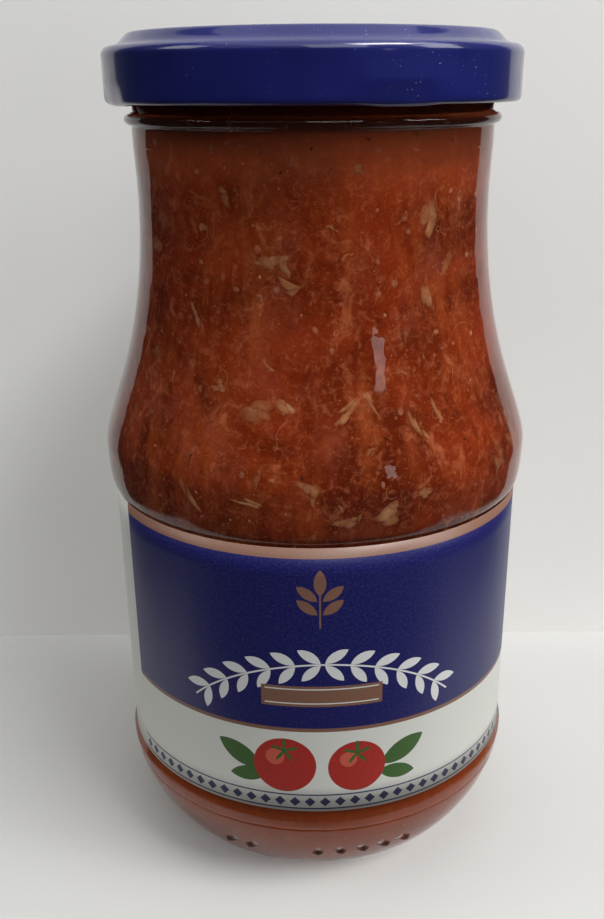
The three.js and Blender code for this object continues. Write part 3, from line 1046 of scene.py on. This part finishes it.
def tomatoes(ink, page):
    """Two tomatoes with leaves beside them."""
    for middle, turn, length in TOMATO_LEAVES:
        leaf = ink.leaf(ink.at, middle, turn, length, length * TOMATO_LEAF_WIDTH)
        page = ink.blend(leaf, page, LEAF_GREEN)
    for (x, y), radius in TOMATOES:
        shine = TOMATO_SHINE * radius
        page = ink.blend(ink.disc((x, y), radius), page, TOMATO_RED)
        page = ink.blend(ink.disc((x - shine, y + shine), shine), page, TOMATO_LIGHT)
        crown = ink.star((x, y + CROWN_RISE * radius), CROWN_POINTS, *CROWN_SIZES, 90)
        page = ink.blend(crown, page, LEAF_GREEN)
    return page


def label_material():
    """Satin paper printed with fields of colour and simple shapes."""
    ink = Print("printed_paper")
    grain = ink.noise(ink.at, 0.4, 2.0, 0.6)
    front = ink.within(ink.across, (FIELD_LEFT + FIELD_RIGHT) / 2, (FIELD_RIGHT - FIELD_LEFT) / 2)
    field = ink.math("GREATER_THAN", ink.up, BAND_TOP)
    border = ink.within(ink.up, BAND_TOP, BAND_LINE / 2)
    strip = ink.math("GREATER_THAN", ink.up, STRIP_LOW)
    page = ink.blend(ink.both(front, field), CREAM, NAVY)
    page = ink.blend(ink.both(front, border), page, COPPER)
    page = ink.blend(back_rules(ink), page, GREY)
    page = ink.blend(garland(ink), page, WHITE)
    page = ink.blend(sprig(ink), page, COPPER)
    page = plaque(ink, page)
    page = ink.blend(ink.both(front, frieze(ink)), page, NAVY)
    page = tomatoes(ink, page)
    page = ink.blend(ink.both(front, strip), page, COPPER)
    page = ink.blend(ink.step(grain, 0.4, 0.75, 0.0, 0.03), page, WHITE)
    return ink.done(
        ink.surface(
            Base_Color=page,
            Roughness=ink.step(grain, 0.3, 0.7, 0.34, 0.42),
            Specular_IOR_Level=0.5,
            Normal=ink.bump(grain, 0.05, 0.02),
        )
    )


# Studio; the floor and the wall turn dark in front of the jar and far to its sides, outside the frame
BACKDROP_BACK, BACKDROP_HALF, BACKDROP_TALL = 61.0, 122.0, 420.0
GROUND_HALF, GROUND_LEVEL = 900.0, -0.02
GROUND_DARK, GROUND_PALE = -58.0, -43.0
SIDE_DARK, SIDE_PALE = 145.0, 122.0


def studio_material(name, pale):
    """Matt and pale, but darker in front of the jar and far to its sides."""
    paint = Paint(name)
    place = paint.place()
    tone = paint.noise(place, 60.0, 3.0, 0.5)
    base = paint.blend(paint.step(tone, 0.3, 0.7), pale, scaled(pale, 0.97))
    across, along = paint.split(place)
    front = paint.step(along, GROUND_DARK, GROUND_PALE)
    sides = paint.step(paint.math("ABSOLUTE", across), SIDE_DARK, SIDE_PALE)
    base = paint.blend(paint.math("MULTIPLY", front, sides), STUDIO_DARK, base)
    return paint, paint.surface(Base_Color=base, Roughness=0.7, Specular_IOR_Level=0.2)


def make_floor():
    paint, shader = studio_material("pale_floor", GROUND)
    sides = ((-1, -1), (1, -1), (1, 1), (-1, 1))
    corners = [(x * GROUND_HALF, y * GROUND_HALF, GROUND_LEVEL) for x, y in sides]
    floor = new_object("floor", corners, [(0, 1, 2, 3)])
    floor.data.materials.append(paint.done(shader))
    return floor


def make_backdrop():
    """A wall that can be seen only from its front."""
    paint, shader = studio_material("pale_backdrop", BACKDROP)
    mix = paint.add("ShaderNodeMixShader")
    paint.feed(mix.inputs[0], paint.add("ShaderNodeNewGeometry").outputs["Backfacing"])
    paint.feed(mix.inputs[1], shader)
    paint.feed(mix.inputs[2], paint.add("ShaderNodeBsdfTransparent").outputs[0])
    sides = ((-1, 0), (1, 0), (1, 1), (-1, 1))
    corners = [(x * BACKDROP_HALF, BACKDROP_BACK, z * BACKDROP_TALL) for x, z in sides]
    backdrop = new_object("backdrop", corners, [(0, 1, 2, 3)])
    backdrop.data.materials.append(paint.done(mix.outputs[0]))
    return backdrop


def make_studio():
    floor, backdrop = make_floor(), make_backdrop()


# Lamps: name, angle from the front and elevation in degrees, distance, size, and power in watts
AIM_HEIGHT = 80.0
AIR_COLOUR, AIR_STRENGTH = (0.92, 0.96, 1.0), 0.03
LAMPS = (
    ("key", 50, 58, 700, (300, 140), 3.2),
    ("front", 14, 40, 800, (380, 380), 1.3),
    ("right_side", 74, 32, 800, (300, 300), 1.5),
    ("ceiling", 20, 82, 800, (1000, 900), 2.8),
    ("high_side", 84, 50, 800, (260, 260), 0.9),
    ("left_side", -80, 40, 800, (300, 300), 0.95),
    ("fill", -30, 45, 900, (700, 500), 0.5),
    ("window", 38, 12, 600, (60, 60), 0.03),
)


def make_lights():
    world = bpy.data.worlds.new("studio_air")
    bpy.context.scene.world = world
    world.use_nodes = True
    air = world.node_tree.nodes["Background"]
    air.inputs["Color"].default_value = colour(AIR_COLOUR)
    air.inputs["Strength"].default_value = AIR_STRENGTH
    aim = Vector((0, 0, AIM_HEIGHT * MM))
    for name, azimuth, elevation, distance, size, power in LAMPS:
        light = bpy.data.lights.new(name, "AREA")
        light.shape = "RECTANGLE"
        light.size, light.size_y = size[0] * MM, size[1] * MM
        light.energy = power
        lamp = bpy.data.objects.new(name, light)
        rise = math.radians(elevation)
        level, up = math.cos(rise) * distance, math.sin(rise) * distance
        lamp.location = aim + MM * Vector(around(level, math.radians(azimuth), up))
        lamp.rotation_euler = (lamp.location - aim).to_track_quat("Z", "Y").to_euler()
        bpy.context.scene.collection.objects.link(lamp)


def make_camera():
    data = bpy.data.cameras.new("camera")
    data.sensor_width = SENSOR
    data.lens = FOCAL_PIXELS * SENSOR / PHOTO_HEIGHT
    data.shift_x = (PHOTO_WIDTH / 2 - CENTRE_X) / PHOTO_HEIGHT
    data.shift_y = (CENTRE_Y - PHOTO_HEIGHT / 2) / PHOTO_HEIGHT
    data.clip_start = CLIP_START * MM
    camera = bpy.data.objects.new("camera", data)
    tilt = Euler((math.pi / 2 - CAMERA_TILT, 0, 0)).to_matrix().to_4x4()
    place = Matrix.Translation((0, -CAMERA_DISTANCE * MM, CAMERA_HEIGHT * MM))
    camera.matrix_world = place @ tilt @ Matrix.Rotation(-CAMERA_ROLL, 4, "Z")
    bpy.context.scene.collection.objects.link(camera)
    bpy.context.scene.camera = camera


# The jar

PIECES = (
    (make_glass, glass_material, "glass", "glass_jar"),
    (make_sauce, sauce_material, "sauce", "sauce"),
    (make_label, label_material, "label_paper", "label"),
    (make_lid, lid_material, "lid_lacquer", "lid"),
    (make_mushrooms, mushroom_material, "sauce", None),
    (make_onions, onion_material, "sauce", None),
    (make_herbs, herb_material, "sauce", None),
    (make_fibres, fibre_material, "sauce", None),
)

for make, material, slot, node in PIECES:
    piece = make()
    piece.data.materials.append(material())
    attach(piece, "root")
    if node:
        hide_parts(node)

make_studio()
make_lights()
make_camera()
bpy.context.scene.view_settings.view_transform = "Standard"
